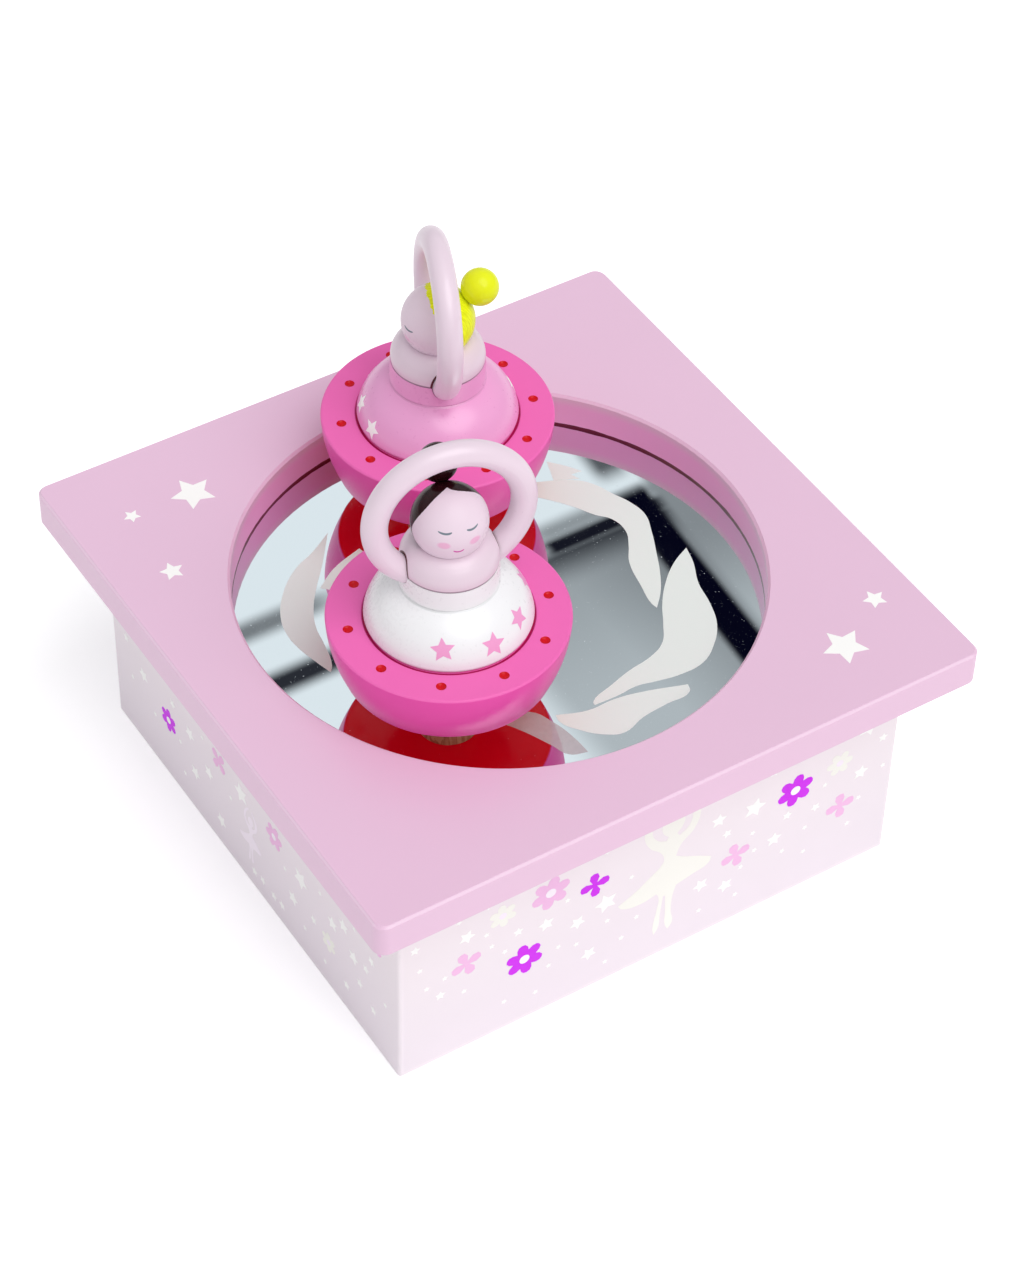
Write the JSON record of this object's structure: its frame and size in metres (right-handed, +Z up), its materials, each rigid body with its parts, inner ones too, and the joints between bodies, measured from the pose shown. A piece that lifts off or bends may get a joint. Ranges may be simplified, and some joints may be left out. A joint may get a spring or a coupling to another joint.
{
  "type": "ballerina musical jewellery box",
  "caption": "Wind-up wooden music box whose magnet-driven wooden ballerinas glide and spin over a round mirror stage set in a printed square case.",
  "frame": {"origin": "centre of the case's footprint, on the surface it stands on", "axes": "+Z up; -Y out of the printed front wall; +X to the right of someone facing that wall"},
  "size_m": [0.155, 0.155, 0.1345],
  "materials": {
    "pink_lacquer": "satin pink lacquer over wood board",
    "wall_lacquer": "pale pink printed lacquer over wood board",
    "mirror": "silvered glass with white print",
    "plywood": "raw plywood",
    "turned_wood": "turned wood",
    "hot_pink_paint": "gloss paint on turned wood",
    "white_paint": "satin paint on turned wood",
    "rose_paint": "satin paint on turned wood",
    "skin_paint": "satin paint on turned wood",
    "yellow_paint": "gloss paint on turned wood",
    "brown_paint": "gloss paint on turned wood",
    "steel": "plain steel",
    "zinc": "plated zinc casting",
    "brass": "brass",
    "magnet": "nickel-plated magnet",
    "nylon": "moulded nylon",
    "felt": "thin felt disc"
  },
  "bodies": {
    "case": {"top_plate": "pink_lacquer", "front_wall": "wall_lacquer", "back_wall": "wall_lacquer", "left_wall": "wall_lacquer", "right_wall": "wall_lacquer", "mirror": "mirror", "base_panel": "plywood", "corner_blocks": "plywood", "base_screws": "steel", "bedplate": "zinc", "movement_screws": "steel", "comb": "steel", "comb_screws": "steel", "governor_bracket": "zinc", "bracket_screw": "steel", "clutch_spring": "steel"},
    "winding_key": {"winding_key": "steel", "winding_arbor": "steel"},
    "barrel": {"spring_barrel": "zinc", "barrel_cover": "brass", "mainspring": "steel", "drive_tube": "brass", "magnet_carrier": "nylon", "carrier_screw": "steel", "drive_magnets": "magnet"},
    "cylinder": {"music_cylinder": "brass", "cylinder_arbor": "steel", "cylinder_pinion": "brass", "cylinder_gear": "brass"},
    "idler": {"idler_arbor": "steel", "idler_pinion": "brass", "worm_wheel": "brass"},
    "governor": {"governor_worm": "steel", "governor_fan": "nylon"},
    "front_foot": {"front_foot": "turned_wood", "front_foot_magnet": "magnet", "front_foot_pad": "felt", "front_pivot_pin": "steel"},
    "front_dancer": {"front_bowl": "hot_pink_paint", "front_skirt": "white_paint", "front_bodice": "skin_paint", "front_arms": "skin_paint", "front_head": "skin_paint", "front_bun": "brown_paint", "front_peg": "turned_wood"},
    "rear_foot": {"rear_foot": "turned_wood", "rear_foot_magnet": "magnet", "rear_foot_pad": "felt", "rear_pivot_pin": "steel"},
    "rear_dancer": {"rear_bowl": "hot_pink_paint", "rear_skirt": "rose_paint", "rear_bodice": "skin_paint", "rear_arms": "skin_paint", "rear_head": "skin_paint", "rear_bun": "yellow_paint", "rear_peg": "turned_wood"}
  },
  "joints": [
    {"name": "barrel_turn", "type": "hinge", "parent": "case", "child": "barrel", "pos_m": [0, 0, 0.03], "axis": [0, 0, 1], "continuous": true},
    {"name": "key_wind", "type": "hinge", "parent": "case", "child": "winding_key", "pos_m": [0, 0, 0.006], "axis": [0, 0, 1], "range_deg": [0, 1530]},
    {"name": "cylinder_turn", "type": "hinge", "parent": "case", "child": "cylinder", "pos_m": [0.0275, 0, 0.02905], "axis": [1, 0, 0], "continuous": true},
    {"name": "idler_turn", "type": "hinge", "parent": "case", "child": "idler", "pos_m": [0.042, 0.00888, 0.02905], "axis": [1, 0, 0], "continuous": true},
    {"name": "governor_turn", "type": "hinge", "parent": "case", "child": "governor", "pos_m": [0.0433, 0.01563, 0.03], "axis": [0, 0, 1], "continuous": true},
    {"name": "front_foot_lift", "type": "slide", "parent": "barrel", "child": "front_foot", "axis": [0, 0, 1], "range_m": [0, 0.06]},
    {"name": "front_dancer_spin", "type": "hinge", "parent": "front_foot", "child": "front_dancer", "pos_m": [-0.02598, -0.02051, 0.0694], "axis": [0, 0, 1], "continuous": true},
    {"name": "rear_foot_lift", "type": "slide", "parent": "barrel", "child": "rear_foot", "axis": [0, 0, 1], "range_m": [0, 0.06]},
    {"name": "rear_dancer_spin", "type": "hinge", "parent": "rear_foot", "child": "rear_dancer", "pos_m": [0.00573, 0.03615, 0.0694], "axis": [0, 0, 1], "continuous": true}
  ],
  "couplings": [
    {"joint": "cylinder_turn", "follows": "barrel_turn", "ratio": 3},
    {"joint": "idler_turn", "follows": "barrel_turn", "ratio": -8},
    {"joint": "governor_turn", "follows": "barrel_turn", "ratio": 192}
  ]
}
